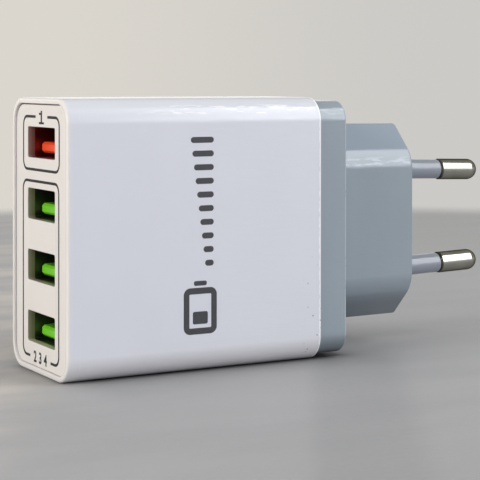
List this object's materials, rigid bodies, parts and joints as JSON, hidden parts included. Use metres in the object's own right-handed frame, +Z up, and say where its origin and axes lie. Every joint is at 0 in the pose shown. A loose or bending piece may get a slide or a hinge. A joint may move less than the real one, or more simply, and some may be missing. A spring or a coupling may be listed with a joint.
{
  "type": "usb wall charger",
  "caption": "Plug-in USB wall charger: a rounded white block with a row of USB sockets at one end and a flat mains plug at the other.",
  "frame": {"origin": "on the surface the charger stands on, under the middle of its whole length and thickness", "axes": "+X from the socket end to the tips of the plug pins, +Y across the thickness, +Z up along the row of sockets"},
  "size_m": [0.09, 0.0252, 0.0462],
  "materials": {
    "white_case": "glossy white moulding",
    "panel": "satin warm white moulding",
    "grey_case": "glossy blue-grey moulding",
    "collar": "smooth grey insulation",
    "pin_metal": "polished nickel plate",
    "shell_metal": "stamped tinned sheet",
    "tongue_orange": "moulded orange-red insulator",
    "tongue_green": "moulded green insulator",
    "contact_metal": "gold flash over copper alloy",
    "board": "green solder mask",
    "sheet": "pale insulating card",
    "ferrite": "dark ferrite",
    "bobbin": "black moulded bobbin",
    "tape": "yellow insulating tape",
    "can_blue": "dark blue film round an aluminium can",
    "can_bare": "bare aluminium can",
    "copper": "enamelled copper wire",
    "film_box": "yellow potted box",
    "disc_blue": "blue dipped ceramic disc",
    "fuse_body": "pale ceramic tube",
    "package": "black moulded package",
    "heatsink": "bare aluminium plate",
    "wire_brown": "brown insulation",
    "wire_blue": "blue insulation"
  },
  "bodies": {
    "root": {"sleeve": "white_case", "port_panel": "panel", "rear_cover": "grey_case", "pin_upper": "pin_metal", "pin_lower": "pin_metal", "pin_collar_upper": "collar", "pin_collar_lower": "collar", "port_board": "board", "main_board": "board", "insulating_sheet": "sheet", "transformer_core": "ferrite", "transformer_bobbin": "bobbin", "transformer_winding": "tape", "mains_capacitor_1": "can_blue", "mains_capacitor_2": "can_blue", "output_capacitor_1": "can_bare", "output_capacitor_2": "can_bare", "choke_core": "ferrite", "choke_winding": "copper", "interference_capacitor": "film_box", "safety_capacitor": "disc_blue", "inline_fuse": "fuse_body", "bridge_rectifier": "package", "power_switch": "package", "controller_chip": "package", "optocoupler": "package", "output_rectifier": "package", "rectifier_heatsink": "heatsink", "output_inductor": "ferrite", "port_chip_1": "package", "port_chip_2": "package", "live_wire": "wire_brown", "neutral_wire": "wire_blue", "usb_shell_1": "shell_metal", "usb_tongue_1": "tongue_orange", "usb_contacts_1": "contact_metal", "usb_shell_2": "shell_metal", "usb_tongue_2": "tongue_green", "usb_contacts_2": "contact_metal", "usb_shell_3": "shell_metal", "usb_tongue_3": "tongue_green", "usb_contacts_3": "contact_metal", "usb_shell_4": "shell_metal", "usb_tongue_4": "tongue_green", "usb_contacts_4": "contact_metal"}
  },
  "joints": []
}
